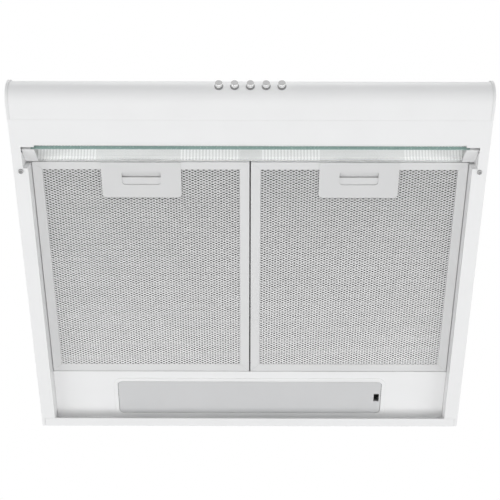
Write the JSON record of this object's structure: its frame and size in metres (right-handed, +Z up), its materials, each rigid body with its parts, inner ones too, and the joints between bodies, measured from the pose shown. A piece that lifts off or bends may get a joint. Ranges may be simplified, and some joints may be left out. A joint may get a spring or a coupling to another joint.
{
  "type": "under cabinet range hood",
  "caption": "White under cabinet range hood with a rounded nose, push buttons, a tilting glass visor, latched mesh grease filters, a lamp lens and a ducted blower.",
  "frame": {"origin": "centre of the fixing-screw pattern on the roof's top face", "axes": "+X to the right seen from the front, +Y to the back wall, +Z up into the cabinet"},
  "size_m": [0.6, 0.514, 0.1628],
  "materials": {
    "white_paint": "satin white stove enamel",
    "white_plastic": "smooth white moulding",
    "filter_frame": "pale grey painted aluminium channel",
    "filter_mesh": "expanded aluminium mesh",
    "visor_glass": "clear float glass with a green edge",
    "lens": "frosted translucent plastic",
    "bulb_glass": "opal glass",
    "chrome": "polished chrome plate",
    "steel": "zinc-plated steel",
    "black_plastic": "moulded black plastic",
    "capacitor": "drawn aluminium can"
  },
  "bodies": {
    "hood": {"roof_panel": "white_paint", "rear_panel": "white_paint", "side_panel_left": "white_paint", "side_panel_right": "white_paint", "side_channel_left": "white_paint", "side_channel_right": "white_paint", "nose_panel": "white_paint", "front_strip": "white_paint", "front_cover": "white_paint", "cross_rail": "white_paint", "filter_rail": "white_paint", "light_panel": "white_paint", "lamp_tray": "white_paint", "end_cap_left": "white_plastic", "end_cap_right": "white_plastic", "bulb_left": "bulb_glass", "bulb_right": "bulb_glass", "switch_rings": "chrome", "flange_screws": "steel", "motor": "steel", "motor_bracket": "steel", "scroll_housing": "black_plastic", "inlet_cover": "black_plastic", "switch_block": "black_plastic", "terminal_box": "black_plastic", "cable_gland": "black_plastic", "outlet_collar": "black_plastic", "lamp_holder_left": "black_plastic", "lamp_holder_right": "black_plastic", "capacitor": "capacitor"},
    "visor": {"visor_glass": "visor_glass", "visor_bracket_left": "white_plastic", "visor_bracket_right": "white_plastic"},
    "lens": {"lamp_lens": "lens"},
    "fan": {"impeller": "black_plastic", "motor_shaft": "steel"},
    "outlet_flap_front": {"front_flap": "black_plastic"},
    "outlet_flap_rear": {"rear_flap": "black_plastic"},
    "filter_left": {"filter_frame_left": "filter_frame", "filter_mesh_left": "filter_mesh", "filter_core_left": "filter_mesh", "filter_backing_left": "filter_mesh", "latch_plate_left": "white_plastic"},
    "latch_left": {"latch_slider_left": "white_plastic"},
    "filter_right": {"filter_frame_right": "filter_frame", "filter_mesh_right": "filter_mesh", "filter_core_right": "filter_mesh", "filter_backing_right": "filter_mesh", "latch_plate_right": "white_plastic"},
    "latch_right": {"latch_slider_right": "white_plastic"},
    "button_1": {"push_button_1": "chrome"},
    "button_2": {"push_button_2": "chrome"},
    "button_3": {"push_button_3": "chrome"},
    "button_4": {"push_button_4": "chrome"},
    "button_5": {"push_button_5": "chrome"}
  },
  "joints": [
    {"name": "visor_tilt", "type": "hinge", "parent": "hood", "child": "visor", "pos_m": [0, -0.26, -0.11202], "axis": [1, 0, 0], "range_deg": [0, 50]},
    {"name": "lens_drop", "type": "hinge", "parent": "hood", "child": "lens", "pos_m": [0, 0.0863, -0.111], "axis": [-1, 0, 0], "range_deg": [0, 70]},
    {"name": "fan_spin", "type": "hinge", "parent": "hood", "child": "fan", "pos_m": [0.138, -0.024, -0.04], "axis": [0, 0, 1], "continuous": true},
    {"name": "front_flap_lift", "type": "hinge", "parent": "hood", "child": "outlet_flap_front", "pos_m": [0, 0.07998, 0.009], "axis": [-1, 0, 0], "range_deg": [0, 78]},
    {"name": "rear_flap_lift", "type": "hinge", "parent": "hood", "child": "outlet_flap_rear", "pos_m": [0, 0.08518, 0.009], "axis": [1, 0, 0], "range_deg": [0, 78]},
    {"name": "filter_left_drop", "type": "hinge", "parent": "hood", "child": "filter_left", "pos_m": [0, 0.0668, -0.1088], "axis": [1, 0, 0], "range_deg": [0, 75]},
    {"name": "latch_left_slide", "type": "slide", "parent": "filter_left", "child": "latch_left", "axis": [0, 1, 0], "range_m": [0, 0.0075], "stiffness_N_per_m": 400, "springref_m": -0.004},
    {"name": "filter_right_drop", "type": "hinge", "parent": "hood", "child": "filter_right", "pos_m": [0, 0.0668, -0.1088], "axis": [1, 0, 0], "range_deg": [0, 75]},
    {"name": "latch_right_slide", "type": "slide", "parent": "filter_right", "child": "latch_right", "axis": [0, 1, 0], "range_m": [0, 0.0075], "stiffness_N_per_m": 400, "springref_m": -0.004},
    {"name": "button_1_press", "type": "slide", "parent": "hood", "child": "button_1", "axis": [0, 0.891, 0.454], "range_m": [0, 0.003], "stiffness_N_per_m": 500, "springref_m": -0.002},
    {"name": "button_2_press", "type": "slide", "parent": "hood", "child": "button_2", "axis": [0, 0.891, 0.454], "range_m": [0, 0.003], "stiffness_N_per_m": 500, "springref_m": -0.002},
    {"name": "button_3_press", "type": "slide", "parent": "hood", "child": "button_3", "axis": [0, 0.891, 0.454], "range_m": [0, 0.003], "stiffness_N_per_m": 500, "springref_m": -0.002},
    {"name": "button_4_press", "type": "slide", "parent": "hood", "child": "button_4", "axis": [0, 0.891, 0.454], "range_m": [0, 0.003], "stiffness_N_per_m": 500, "springref_m": -0.002},
    {"name": "button_5_press", "type": "slide", "parent": "hood", "child": "button_5", "axis": [0, 0.891, 0.454], "range_m": [0, 0.003], "stiffness_N_per_m": 500, "springref_m": -0.002}
  ]
}
